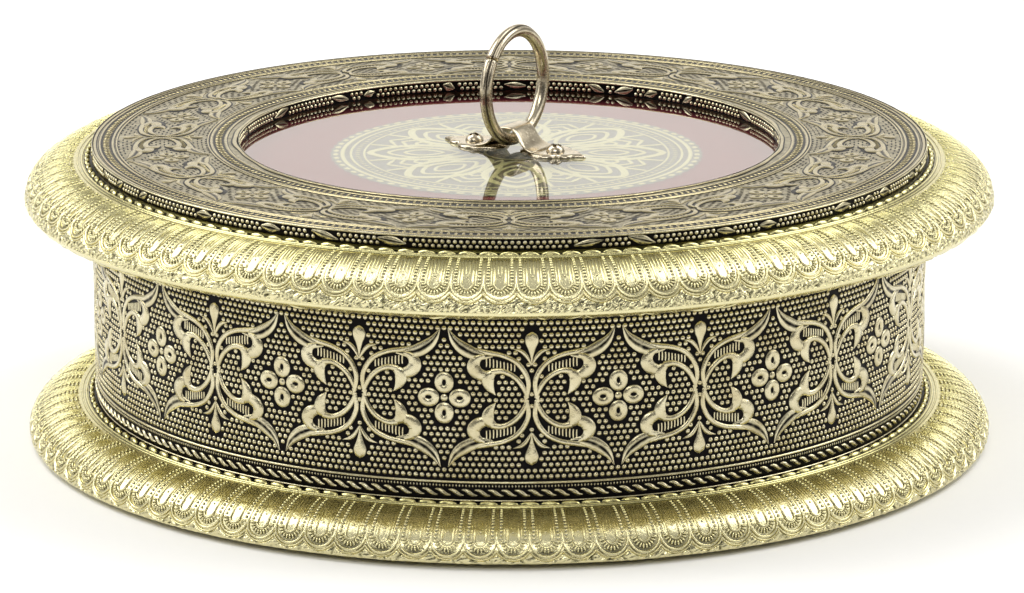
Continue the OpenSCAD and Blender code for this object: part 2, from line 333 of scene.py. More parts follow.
def clear_of(centres, rows_list, room, turn_length):
    """The centres that keep room from every raised line, whose pattern repeats each turn_length."""
    keep = np.ones(len(centres), bool)
    for rows, closed in rows_list:
        c = curve(rows, 6 * len(rows), closed)
        dx = centres[:, None, 0] - c[None, :, 0]
        dx = dx - turn_length * np.round(dx / turn_length)
        gap = np.hypot(dx, centres[:, None, 1] - c[None, :, 1]) - np.maximum(c[None, :, 2], 0) / 2
        keep &= gap.min(1) > room
    return centres[keep]


# ---------------------------------------------------------------- laying patterns on the object


def on_drum(radius, height, inward=False):
    """x runs round a cylinder, y up it, h out of it (or into its hollow)."""
    side = -1 if inward else 1

    def place(p):
        a = p[:, 0] / radius
        r = radius + side * p[:, 2]
        return np.stack([r * np.sin(a), -r * np.cos(a), height + p[:, 1]], 1)

    return place


def on_ring(reference, height):
    """x runs round at the reference radius, y is the distance from the axis, h is up."""

    def place(p):
        a = p[:, 0] / reference
        return np.stack([p[:, 1] * np.sin(a), -p[:, 1] * np.cos(a), height + p[:, 2]], 1)

    return place


def on_profile(profile, reference):
    """x runs round at the reference radius, y along the profile from its start, h square to it."""
    step = np.diff(profile, axis=0)
    far = np.concatenate([[0], np.cumsum(np.hypot(step[:, 0], step[:, 1]))])
    tangent = np.gradient(profile, axis=0)
    tangent /= np.linalg.norm(tangent, axis=1, keepdims=True)

    def place(p):
        a = p[:, 0] / reference
        r, z = (np.interp(p[:, 1], far, profile[:, i]) for i in (0, 1))
        tr, tz = (np.interp(p[:, 1], far, tangent[:, i]) for i in (0, 1))
        r, z = r - tz * p[:, 2], z + tr * p[:, 2]
        return np.stack([r * np.sin(a), -r * np.cos(a), z], 1)

    return place


def lathe(profile, sides, hollow=1.0):
    """The surface that an open profile of (radius, height) sweeps round the axis; hollow is one
    number or one for each point of the profile."""
    profile = np.asarray(profile, float)
    a = np.arange(sides) * TAU / sides
    r, z = profile[:, 0], profile[:, 1]
    x = np.sin(a)[:, None] * r[None, :]
    y = -np.cos(a)[:, None] * r[None, :]
    points = np.stack([x, y, np.broadcast_to(z, x.shape)], -1).reshape(-1, 3)
    i, j = np.meshgrid(np.arange(sides), np.arange(len(r) - 1), indexing="ij")
    k, w = (i + 1) % sides, len(r)
    quads = np.stack([i * w + j, i * w + j + 1, k * w + j + 1, k * w + j], -1).reshape(-1, 4)
    hollow = np.tile(np.broadcast_to(hollow, len(r)).astype(float), sides)
    return Patch(points, hollow, quads, NO_FACES["tris"])


def lay(patch, place):
    """The patch put in place, with its faces turned outwards whichever way the place is handed."""
    middle = patch.points.mean(0)
    corner = place(middle + np.vstack([np.zeros(3), 0.01 * np.eye(3)]))
    flip = np.linalg.det(corner[1:] - corner[0]) < 0
    order = slice(None, None, -1 if flip else 1)
    return Patch(place(patch.points), patch.hollow, patch.quads[:, order], patch.tris[:, order])


def piece(name, patch, look, body, replaces=(), smooth=True):
    """Makes the Blender object of a patch in millimetres, gives it the finish called look and ties
    it to its CAD body."""
    material, slot = finish(look)
    mesh = bpy.data.meshes.new(name)
    mesh.from_pydata(patch.points * MM, [], patch.quads.tolist() + patch.tris.tolist())
    hollow = mesh.attributes.new("hollow", "FLOAT", "POINT")
    hollow.data.foreach_set("value", patch.hollow.astype(np.float32))
    mesh.polygons.foreach_set("use_smooth", np.full(len(mesh.polygons), smooth))
    mesh.materials.append(material)
    mesh.update()
    obj = bpy.data.objects.new(name, mesh)
    bpy.context.scene.collection.objects.link(obj)
    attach(obj, body)
    if replaces:
        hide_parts(*replaces)
    return obj


# ---------------------------------------------------------------- motifs

# One quarter of the leaf scroll, right of its pinch and above it: (x, y, width, height) in mm
SCROLL = [
    ([(1.5, -0.8, 0.7, 0.3), (0.95, 1.3, 1.0, 0.4), (0.75, 3.9, 1.15, 0.45), (1.8, 6.5, 1.2, 0.45),
      (3.7, 8.6, 1.2, 0.45), (6.7, 10.0, 1.15, 0.45), (9.9, 10.6, 1.3, 0.4), (12.4, 11.3, 0.7, 0.3)],
     22, FLAT),
    ([(8.6, 9.9, 0.7, 0.3), (11.0, 9.9, 2.2, 0.42), (13.3, 10.5, 3.2, 0.5), (15.6, 11.8, 3.1, 0.5),
      (17.3, 13.5, 2.0, 0.42), (18.6, 16.0, 0.1, 0.25)], 18, VEINED),
    ([(0.9, 0.2, 0.8, 0.35), (1.7, 2.2, 1.1, 0.42), (2.9, 4.1, 1.2, 0.45), (4.7, 5.6, 1.25, 0.45),
      (6.8, 6.4, 1.4, 0.45), (8.9, 6.1, 1.7, 0.45)], 16, FLAT),
    ([(7.9, 6.3, 1.0, 0.4), (9.4, 5.3, 2.8, 0.5), (9.7, 3.9, 2.9, 0.5), (9.1, 2.3, 1.9, 0.42),
      (8.0, 0.9, 0.1, 0.25)], 12, FLAT),
    ([(10.4, 9.9, 0.9, 0.35), (12.2, 9.0, 2.3, 0.45), (12.9, 7.3, 3.2, 0.5), (11.9, 5.8, 3.0, 0.5),
      (9.9, 5.2, 2.2, 0.45), (8.4, 5.5, 0.8, 0.35)], 18, FLAT),
    ([(0.1, 7.9, 0.4, 0.3), (1.1, 9.7, 0.95, 0.38), (2.3, 10.9, 1.0, 0.38), (4.1, 11.4, 0.1, 0.25)],
     10, ROUND),
]
BUD = ([(0, 7.5, 0.1, 0.25), (0, 9.3, 0.6, 0.35), (0, 11.2, 1.7, 0.45), (0, 12.6, 3.1, 0.5),
        (0, 13.6, 3.5, 0.5), (0, 14.7, 2.6, 0.42), (0, 15.3, 0.3, 0.25)], 14, ROUND)


def scaled(rows, sx, sy, sw):
    return [(x * sx, y * sy, w * sw, h) for x, y, w, h in rows]


def scroll(sx=1.0, sy=1.0, sw=1.0, flat=FLAT):
    """One repeat of the leaf scroll about its pinch: four mirrored quarters, the hatching in their
    crescents and a bud above and below. Returns the patch and the lines that dots must clear."""
    quarter = [
        ridge(scaled(rows, sx, sy, sw), count, flat if section is FLAT else section)
        for rows, count, section in SCROLL
    ]
    # Hatching: upright ticks that grow taller towards the round lobe
    for i in range(9):
        x = 3.8 + 0.78 * i
        low, high = 6.3 + 0.13 * i, 7.9 + 0.2 * i
        rows = [(x, low, 0.36, 0.25), (x - 0.05, (low + high) / 2, 0.42, 0.3), (x, high, 0.36, 0.25)]
        quarter.append(ridge(scaled(rows, sx, sy, sw), 4))
    top = join(quarter)
    top = join([top, mirrored(top, 0), ridge(scaled(BUD[0], sx, sy, sw), BUD[1], BUD[2])])
    patch = join([top, mirrored(top, 1)])
    # The crescent between the outer and the inner band carries ticks and no dots
    crescent = [(3.2, 6.4, 1.2, 0), (6, 7.7, 2.4, 0), (9.5, 8.2, 3, 0)]
    lines = []
    for rows in [part[0] for part in SCROLL] + [BUD[0], crescent]:
        rows = np.array(scaled(rows, sx, sy, sw))
        lines += [(rows * (fx, fy, 1, 1), False) for fx in (1, -1) for fy in (1, -1)]
    return patch, lines


def flower(x, y, reach=3.5, petal=1.3, width=2.0):
    """Four oval petals with a hole in each, about a domed middle."""
    rows = []
    for way, across in ((0, 1), (0, -1), (1, 0), (-1, 0)):
        stretch = (1 + 0.22 * abs(way), 1 + 0.22 * abs(across), 1, 1)
        oval = circle_rows(0, 0, petal, width, 0.45) * stretch
        rows.append(oval + (x + way * reach, y + across * reach, 0, 0))
    patch = join([ridge(r, 16, ROUND, True) for r in rows] + [domes([(x, y)], 0.95, 0.4, 9)])
    lines = [(r, True) for r in rows] + [(circle_rows(x, y, 0.4, 0.9, 0.4), True)]
    return patch, lines


# ---------------------------------------------------------------- materials


def add(tree, kind, inputs=None, **settings):
    """Adds a node and sets its properties. Each input is linked if its value is a node (by its
    first output) or a socket, and is set as a constant otherwise, a colour with full alpha."""
    node = tree.nodes.new("ShaderNode" + kind)
    for name, value in settings.items():
        setattr(node, name, value)
    for key, value in (inputs or {}).items():
        if isinstance(value, bpy.types.Node):
            value = value.outputs[0]
        if isinstance(value, bpy.types.NodeSocket):
            tree.links.new(node.inputs[key], value)
        elif node.inputs[key].type == "RGBA":
            node.inputs[key].default_value = (*value, 1)
        else:
            node.inputs[key].default_value = value
    return node


def new_material(name):
    """An empty node material, its tree and the Object coordinates in metres."""
    material = bpy.data.materials.new(name)
    material.use_nodes = True
    tree = material.node_tree
    tree.nodes.clear()
    return material, tree, add(tree, "TexCoord").outputs["Object"]


def per_mm(millimetres):
    """The scale of a texture on Object coordinates, in metres, whose cell is this many mm."""
    return 1 / (millimetres * MM)


def wander(tree, where, cell, detail, spread=(0.3, 0.7), share=(0.0, 1.0), rough=0.5):
    """Noise with cells of this many mm, and the share that it gives when spread's two values of
    the noise become share's two."""
    grain = {"Vector": where, "Scale": per_mm(cell), "Detail": detail, "Roughness": rough}
    noise = add(tree, "TexNoise", grain)
    ends = {"From Min": spread[0], "From Max": spread[1], "To Min": share[0], "To Max": share[1]}
    return noise, add(tree, "MapRange", {"Value": noise, **ends})


def cover(tree, colour, rough, relief, depth, more=None):
    """Ends a material: a surface of that colour and roughness with the relief, depth mm deep,
    pressed into it, and more of the shader's own settings."""
    normal = add(tree, "Bump", {"Height": relief, "Distance": depth * MM, "Strength": 1.0})
    look = {"Base Color": colour.outputs[2], "Roughness": rough, "Normal": normal, **(more or {})}
    add(tree, "OutputMaterial", {"Surface": add(tree, "BsdfPrincipled", look)})


def stamped_gold_foil():
    """Brass-coloured foil stamped over a die and clear-lacquered: bright, faintly green gold on
    the ledge, a painted cream reflection on the belly, olive tarnish and painted shade in the
    stamped hollows, and crumpled finely where it was pressed round the moulding."""
    material, tree, where = new_material("stamped_gold_foil")
    hue = colours()
    hollow = add(tree, "Attribute", attribute_name="hollow").outputs["Fac"]
    # Distance from the box's axis: a cream reflection is painted between the shoulder and the belly
    flat = add(tree, "Mapping", {"Vector": where, "Scale": (1, 1, 0)})
    radius = add(tree, "VectorMath", {0: flat}, operation="LENGTH").outputs["Value"]
    edge = wander(tree, where, 11, 4.0, share=(-1.2 * MM, 1.2 * MM))[1]
    reach = add(tree, "Math", {0: radius, 1: edge}, operation="ADD")
    low, high = (BELLY_R - 9.5) * MM, (BELLY_R - 4.0) * MM
    belly_reflection = add(tree, "MapRange", {"Value": reach, "From Min": low, "From Max": high})
    face = add(tree, "Mix", {0: belly_reflection, 6: hue.gold, 7: hue.gold_belly_reflection}, data_type="RGBA")
    # Olive tarnish and painted shade, stronger as the hollow attribute rises
    depth = add(tree, "MapRange", {"Value": hollow, "From Min": 0.25, "From Max": 1.0})
    base = add(tree, "Mix", {0: depth, 6: face.outputs[2], 7: hue.gold_tarnish_and_shade}, data_type="RGBA")
    # Crumples are about 1.2 mm across, hammer-like dimples 3 mm
    creases = {"Vector": where, "Scale": per_mm(1.2), "Detail": 5.0, "Roughness": 0.65}
    crumple = add(tree, "TexNoise", creases)
    dimple = add(tree, "TexVoronoi", {"Vector": where, "Scale": per_mm(3.2)}, feature="SMOOTH_F1")
    height = add(tree, "Math", {0: dimple, 1: 0.5, 2: crumple}, operation="MULTIPLY_ADD")
    rough = wander(tree, where, 2.5, 3.0, share=(0.12, 0.24))[1]
    cover(tree, base, rough, height, 0.12, {"Metallic": 1.0})
    return material


def rubbed_foil(name, bright, aged):
    """Embossed foil, blackened and rubbed back: gold tops, black lacquer in the hollows. The soft
    edge between them is where the rubbing stopped."""
    material, tree, where = new_material(name)
    hollow = add(tree, "Attribute", attribute_name="hollow").outputs["Fac"]
    streaks = add(tree, "TexNoise", {"Vector": where, "Scale": per_mm(1.6), "Detail": 4.0})
    wobble = add(tree, "Math", {0: streaks, 1: 0.45, 2: hollow}, operation="MULTIPLY_ADD")
    stop = {"From Min": 0.62, "From Max": 0.98, "To Min": 1.0, "To Max": 0.0}
    rubbed = add(tree, "MapRange", {"Value": wobble, **stop})
    age = wander(tree, where, 5, 4.0, (0.35, 0.75), (0.0, 0.55))[1]
    metal = add(tree, "Mix", {0: age, 6: bright, 7: aged}, data_type="RGBA")
    base = {0: rubbed, 6: colours().black, 7: metal.outputs[2]}
    base = add(tree, "Mix", base, data_type="RGBA")
    rough = add(tree, "MapRange", {"Value": rubbed, "To Min": 0.3, "To Max": 0.27})
    grain = {"Vector": where, "Scale": per_mm(0.7), "Detail": 4.0, "Roughness": 0.6}
    fine = add(tree, "TexNoise", grain)
    cover(tree, base, rough, fine, 0.08, {"Metallic": rubbed, "Specular IOR Level": 0.06})
    return material


def blackened_foil():
    return rubbed_foil("blackened_rubbed_foil", colours().old_gold, colours().old_gold_low)


def antiqued_foil():
    """The lid ring's foil: duller and greyer than the drum's."""
    return rubbed_foil("antiqued_engraved_foil", colours().ring_gold, colours().ring_gold_low)


def pale_medallion_foil():
    """Thin gold foil pressed over paper: a soft, even sheen, tarnished green between the lines."""
    material, tree, where = new_material("pressed_pale_foil")
    hollow = add(tree, "Attribute", attribute_name="hollow").outputs["Fac"]
    depth = add(tree, "MapRange", {"Value": hollow, "From Min": 0.1, "From Max": 0.7})
    base = {0: depth, 6: colours().medallion, 7: colours().medallion_low}
    base = add(tree, "Mix", base, data_type="RGBA")
    fine, rough = wander(tree, where, 1.2, 3.0, share=(0.4, 0.55))
    cover(tree, base, rough, fine, 0.05, {"Metallic": 0.3})
    return material


def napped_cloth(name, colour, fibre, sheen):
    """Short upright fibres: dark face-on, catching light at the rim, with brushed patches."""
    material, tree, where = new_material(name)
    dark = tuple(0.75 * c for c in colour)
    # Fibres are 0.05 mm thick; drawn coarser so that the pile shows
    pile, lit = wander(tree, where, fibre, 2.0)
    pressed = wander(tree, where, 14, 3.0, (0.45, 0.75), (0.0, 0.4))[1]
    base = add(tree, "Mix", {0: lit, 6: dark, 7: colour}, data_type="RGBA")
    base = add(tree, "Mix", {0: pressed, 6: base.outputs[2], 7: dark}, data_type="RGBA")
    nap = {"Sheen Weight": sheen, "Sheen Roughness": 0.35, "Sheen Tint": linear("#D98A94")}
    cover(tree, base, 0.95, pile, 0.05, nap)
    return material


def velvet_paper():
    return napped_cloth("flocked_velvet_paper", tuple(colours().velvet), 0.5, 0.08)


def wool_felt():
    return napped_cloth("pressed_wool_felt", linear("#4A1420"), 0.9, 0.15)


def float_glass():
    """Clear float glass: passes what is behind it straight through and mirrors by its Fresnel
    share, counted once for both of its faces because only the upper face mirrors."""
    material, tree = new_material("clear_float_glass")[:2]
    front = add(tree, "Fresnel", {"IOR": 1.5})
    behind = add(tree, "NewGeometry").outputs["Backfacing"]
    # Two faces mirror 2F / (1 + F) of the light
    twice = add(tree, "Math", {0: front, 1: 2.0}, operation="MULTIPLY")
    more = add(tree, "Math", {0: front, 1: 1.0}, operation="ADD")
    both = add(tree, "Math", {0: twice, 1: more}, operation="DIVIDE")
    outside = add(tree, "Math", {0: 1.0, 1: behind}, operation="SUBTRACT")
    share = add(tree, "Math", {0: both, 1: outside}, operation="MULTIPLY")
    clear = add(tree, "BsdfTransparent", {"Color": linear("#F6FAF8")})
    mirror = add(tree, "BsdfGlossy", {"Roughness": 0.02})
    mix = add(tree, "MixShader", {0: share, 1: clear, 2: mirror})
    add(tree, "OutputMaterial", {"Surface": mix})
    return material


def worn_nickel():
    """Nickel plate on pressed brass, tumbled and handled: warm grey, with fine scratches, duller
    spots and darker along the folded seam."""
    material, tree, where = new_material("tumbled_nickel_plate")
    hollow = add(tree, "Attribute", attribute_name="hollow").outputs["Fac"]
    dull = wander(tree, where, 3, 5.0, (0.42, 0.75), (0.0, 0.5))[1]
    base = add(tree, "Mix", {0: dull, 6: colours().nickel, 7: linear("#8F846C")}, data_type="RGBA")
    # Darker along the folded seam, where the hollow attribute is high
    seam_darkening = {0: hollow, 6: base.outputs[2], 7: linear("#2A241C")}
    base = add(tree, "Mix", seam_darkening, data_type="RGBA")
    fine, rough = wander(tree, where, 0.6, 4.0, share=(0.14, 0.3))
    cover(tree, base, rough, fine, 0.02, {"Metallic": 1.0})
    return material


def spun_steel():
    """Stainless steel spun on a lathe: fine rings up the wall and a soft stretched highlight."""
    material, tree, where = new_material("spun_stainless_steel")
    # Spinning marks are 0.2 mm apart up the wall, drawn 0.6 mm apart so that they show
    squash = add(tree, "Mapping", {"Vector": where, "Scale": (0.02, 0.02, 1.0)})
    marks, share = wander(tree, squash, 0.6, 3.0, share=(0.0, 0.4))
    base = add(tree, "Mix", {0: share, 6: colours().steel, 7: linear("#A3A5A8")}, data_type="RGBA")
    spread = {"From Min": 0.3, "From Max": 0.7, "To Min": 0.18, "To Max": 0.32}
    rough = add(tree, "MapRange", {"Value": marks, **spread})
    cover(tree, base, rough, marks, 0.02, {"Metallic": 1.0})
    return material


def raw_board():
    """Medium-density fibreboard, turned and left raw: matt tan with short darker fibres."""
    material, tree, where = new_material("turned_fibreboard")
    fibres, share = wander(tree, where, 1.4, 5.0, (0.35, 0.7), rough=0.7)
    base = add(tree, "Mix", {0: share, 6: colours().board, 7: linear("#7D5A38")}, data_type="RGBA")
    cover(tree, base, 0.82, fibres, 0.06)
    return material


def studio_paper():
    """Matt white background paper with the faintest tooth."""
    material, tree, where = new_material("studio_paper")
    tooth = add(tree, "TexNoise", {"Vector": where, "Scale": per_mm(3), "Detail": 2.0})
    floor = tuple(colours().floor)
    shade = tuple(0.985 * c for c in floor)
    base = add(tree, "Mix", {0: tooth, 6: floor, 7: shade}, data_type="RGBA")
    paper = add(tree, "BsdfPrincipled", {"Base Color": base.outputs[2], "Roughness": 0.9})
    add(tree, "OutputMaterial", {"Surface": paper})
    return material


# Each finish: the function that makes its material, and its slot
FINISHES = {
    "gold": (stamped_gold_foil, "gold_foil"),
    "blackened": (blackened_foil, "oxidised_foil"),
    "antiqued": (antiqued_foil, "oxidised_foil"),
    "medallion": (pale_medallion_foil, "medallion_foil"),
    "nickel": (worn_nickel, "nickelled_brass"),
}
MADE = {}


def finish(name):
    """The material of that finish, made the first time that it is asked for, and its slot."""
    make, slot = FINISHES[name]
    if name not in MADE:
        MADE[name] = make()
    return MADE[name], slot


def dress(material, *nodes):
    """Gives CAD nodes that are shown as they are a finished material."""
    for node in nodes:
        mesh = frame["nodes"][node].data
        mesh.materials.clear()
        mesh.materials.append(material)


# ---------------------------------------------------------------- pieces


def moulding_profile(ledge_z, belly_z, foot_z, tuck, top_z, end_r):
    """Radius and height from top_z down the step to the ledge, over it, a quarter ellipse to the
    belly, a flatter quarter ellipse under it, and in to end_r; spaced about 0.35 mm."""
    ledge_r = DRUM_R + sizes().ledge_width / MM
    tuck_r = BELLY_R - tuck

    def quarter(t, inner_r, rise):
        return np.stack([inner_r + (BELLY_R - inner_r) * np.cos(t), belly_z + rise * np.sin(t)], 1)

    over = quarter(np.linspace(math.pi / 2, 0, 48), ledge_r, ledge_z - belly_z)
    under = quarter(np.linspace(0, -math.pi / 2, 28)[1:], tuck_r, belly_z - foot_z)
    step = [(DRUM_R + 0.05, top_z), (DRUM_R + 0.05, ledge_z)]
    return np.vstack([step, over, under, [(end_r, foot_z)]])


def flute(pitch, start, middle):
    """One U-shaped flute about x = 0, its round end centred at y = middle: an inner U, lines and
    dotted rows beside it, ticks fanning round its end and a double scallop."""
    half = pitch / 2
    a = np.linspace(math.pi, 0, 9)
    bend = np.stack([1.25 * np.cos(a), middle + 1.25 * np.sin(a)], 1)
    halfway = (start + middle) / 2
    path = np.vstack([[(-1.25, start)], [(-1.25, halfway)], bend, [(1.25, halfway)], [(1.25, start)]])
    size = np.full((len(path), 2), (0.5, 0.42))
    size[[0, -1]] = (0.2, 0.05)
    parts = [ridge(np.hstack([path, size]), 22, SOFT)]
    for x, low, high in ((0.42, start + 0.2, middle - 3.0), (1.9, start, middle + 0.3)):
        rows = [(x, low, 0.15, 0.05), (x, (low + high) / 2, 0.36, 0.34), (x, high, 0.15, 0.05)]
        line = ridge(rows, 5, SOFT)
        parts += [line, mirrored(line, 0)]
    # A plain line on the border between two flutes, with a row of small dots each side
    rows = [(half, start, 0.2, 0.05), (half, middle, 0.42, 0.3), (half, middle + 1.5, 0.2, 0.1)]
    parts.append(ridge(rows, 7, SOFT))
    steps = np.arange(start + 0.6, middle + 0.6, 0.98)
    for side in (-1, 1):
        parts.append(domes(np.stack([0 * steps + side * 2.68, steps], 1), 0.44, 0.4, 6))
    # Painted shade: a dark crescent under the ticks that fan round the U's end
    fan = np.radians(np.linspace(-84, 84, 9))
    wide = 1.5 * np.cos(fan) ** 0.5
    rows = np.stack([2.25 * np.sin(fan), middle + 2.25 * np.cos(fan), wide, 0 * fan + 1], 1)
    crescent = ridge(rows, 13, BLACKING_AND_SHADE)
    parts.append(crescent._replace(hollow=0.75 * crescent.hollow))
    fan = np.radians(np.linspace(-80, 80, 10))
    spots = np.stack([2.28 * np.sin(fan), middle + 2.28 * np.cos(fan)], 1)
    parts.append(domes(spots, 0.27, 0.56, 6, 2.7, -fan))
    for radius, width, height in ((3.6, 0.55, 0.55), (4.3, 0.4, 0.4)):
        reach = math.asin(min(1.0, half / radius))
        b = np.linspace(-reach, reach, 9)
        rows = [radius * np.sin(b), middle + radius * np.cos(b), 0 * b + width, 0 * b + height]
        rows = np.stack(rows, 1)
        parts.append(ridge(rows, 13, SOFT))
    parts.append(domes([(0, middle - 2.2)], 0.3, 0.3, 6))
    return join(parts)


def crinkle(around, pitch, phase, middle, low, high, seed):
    """The crumpled band below the scallops: height is a sum of |sin| creases of random slant, each
    a whole number of waves round, and it fades out inside the scallops centred at y = middle."""
    rng = np.random.default_rng(seed)
    columns, rows = 2500, 17
    x, y = np.meshgrid(np.arange(columns) * around / columns, np.linspace(low, high, rows))
    bends = 0.5 * np.sin(TAU * 61 * x / around + y) + 0.4 * np.sin(TAU * 97 * x / around - 2 * y)
    height = 0 * x
    for _ in range(7):
        waves = rng.integers(120, 520)
        slant, shift = rng.uniform(-2.6, 2.6), rng.uniform(0, TAU)
        height += np.abs(np.sin(math.pi * waves * (x + bends) / around + slant * y + shift))
    height = (height - height.min()) / np.ptp(height)
    off = (x - phase + pitch / 2) % pitch - pitch / 2
    clear = np.clip((np.hypot(off, y - middle) - 4.3) / 0.4, 0, 1)
    points = np.stack([x, y, clear * (0.1 + 0.52 * height) - 0.1], 2).reshape(-1, 3)
    # Painted shade in the creases' troughs, darkest where the foil is lowest
    painted_shade = np.clip(1.5 - 2.2 * height, 0, 1).ravel()
    k = np.arange(columns)
    rim = np.arange(rows - 1)[:, None] * columns
    after = (k + 1) % columns
    quads = np.stack([rim + k, rim + after, rim + columns + after, rim + columns + k], 2).reshape(-1, 4)
    return Patch(points, painted_shade, quads, NO_FACES["tris"])


def pleats(reference, low, high, count, seed):
    """Irregular folds where the foil is gathered under the belly: short slanting ridges whose
    place, length, lean and height wander."""
    rng = np.random.default_rng(seed)
    around = TAU * reference
    one = ridge([(0, -1, 0.1, 0.05), (0, -0.3, 0.9, 0.8), (0, 0.4, 0.8, 1.0), (0, 1, 0.1, 0.05)], 7)
    copies = repeated(one, count, 0.0)
    own = len(one.points)
    reach = np.repeat(rng.uniform(0.5, 1.0, count), own) * (high - low) / 2
    lean = np.repeat(rng.normal(0, 1.1, count), own)
    place = np.repeat((np.arange(count) + rng.uniform(-0.5, 0.5, count)) * around / count, own)
    tall = np.repeat(rng.uniform(0.1, 0.34, count), own)
    x, y, h = copies.points.T
    points = np.stack([place + x + lean * y, (low + high) / 2 + y * reach, h * tall], 1)
    # Painted shade at the folds' edges, at a little over half strength
    return copies._replace(points=points, hollow=0.55 * copies.hollow)


def moulding(name, profile, middle, band_end, phase, body, replaces):
    """A smooth moulding, and stamped on it the flutes, lines and folds, and the crumpled band. The
    flutes' round ends are centred at middle, and the band ends at band_end, from the ledge down."""
    s = sizes()
    reference = BELLY_R - 2.0
    around = TAU * reference
    pitch = around / s.flutes
    ledge = s.ledge_width / MM
    # Painted shade: the step is painted dark, and shade is painted between the lines near the ledge
    # and over the crumpled band; the foil is left bright elsewhere
    along = np.concatenate([[0], np.cumsum(np.hypot(*np.diff(profile, axis=0).T))])
    along = along - along[1] - ledge
    marks = [-9, -2.1, -2, 1.5, 5.0, middle - 1, middle + 3.6, middle + 4.2, band_end - 0.4, band_end, 99]
    painted_shade = [1, 1, 0.6, 0.3, 0.28, 0.1, 0.1, 0.5, 0.5, 0.1, 0.15]
    hollow = np.interp(along, marks, painted_shade)
    piece(name, lathe(profile, 392, hollow), "gold", body, replaces)
    place = on_profile(profile[1:], reference)
    flutes = moved(repeated(flute(pitch, ledge + 1.6, ledge + middle), s.flutes, pitch), phase)
    band_low = ledge + band_end
    lines = [
        ring_line(ledge - 0.2, 0.7, 0.35, around),
        ring_line(ledge + 0.8, 0.45, 0.28, around),
        ring_line(band_low, 0.4, 0.3, around),
        pleats(reference, band_low + 0.4, min(band_low + 5.0, along[-1] + ledge - 0.6), 300, len(name)),
    ]
    relief = join([lay(flutes, place)] + [lay(p, place) for p in lines])
    piece(name + "_flutes", relief, "gold", body)
    end = ledge + middle
    band = crinkle(around, pitch, phase, end, end + 2.0, band_low, len(name) + 50)
    piece(name + "_crinkles", lay(band, place), "gold", body, smooth=False)


def beads_on_ledge(name, ledge_z, body):
    """Long beads lying round a ledge, and under them a ring of blackened foil, a painted shadow between
    the drum and the beads.
    """
    s = sizes()
    radius = DRUM_R + 1.35
    around = TAU * radius
    pitch = around / s.ledge_beads
    # x here is a share of the pitch
    bead = [(-0.44, -0.25, 0.3, 0.2), (-0.3, -0.15, 1.1, 0.6), (0, 0, 1.4, 0.85), (0.3, 0.15, 1.1, 0.6),
            (0.44, 0.25, 0.3, 0.2)]
    bead = scaled(bead, pitch, 1, 1)
    row = moved(repeated(ridge(bead, 11), s.ledge_beads, pitch), 0, radius)
    piece(name + "_beads", lay(row, on_ring(radius, ledge_z + 0.04)), "gold", body)
    # Painted shadow: a dark ring of blackened foil on the ledge round the foot of the drum
    shadow_band = [(DRUM_R + 2.15, ledge_z + 0.03), (DRUM_R + 0.08, ledge_z + 0.05)]
    piece(name + "_seat", lathe(shadow_band, 256), "blackened", body)


class SPICEBOX_OT_mouldings(bpy.types.Operator):
    """Add the stamped gold foil on the base's and the lid's mouldings, and the beads on their ledges"""

    bl_idname = "spicebox.mouldings"
    bl_label = "Mouldings"

    def execute(self, context):
        s = sizes()
        belly, tuck = s.base_belly / MM, s.base_tuck / MM
        base = moulding_profile(BASE_LEDGE_Z, belly, BASE_FOOT_Z, tuck, BASE_LEDGE_Z, FELT_R)
        moulding("base_moulding", base, 12.6, 17.6, 0.9, "box", ["base_edge_foil"])
        belly, tuck = LID_FOOT_Z + s.lid_belly / MM, s.lid_tuck / MM
        lid = moulding_profile(LID_LEDGE_Z, belly, LID_FOOT_Z, tuck, BOARD_Z0, DRUM_R - 0.3)
        moulding("lid_moulding", lid, 11.2, 17.6, -2.0, "lid", ["lid_edge_foil"])
        beads_on_ledge("base_ledge", BASE_LEDGE_Z, "box")
        beads_on_ledge("lid_ledge", LID_LEDGE_Z, "lid")
        return {"FINISHED"}


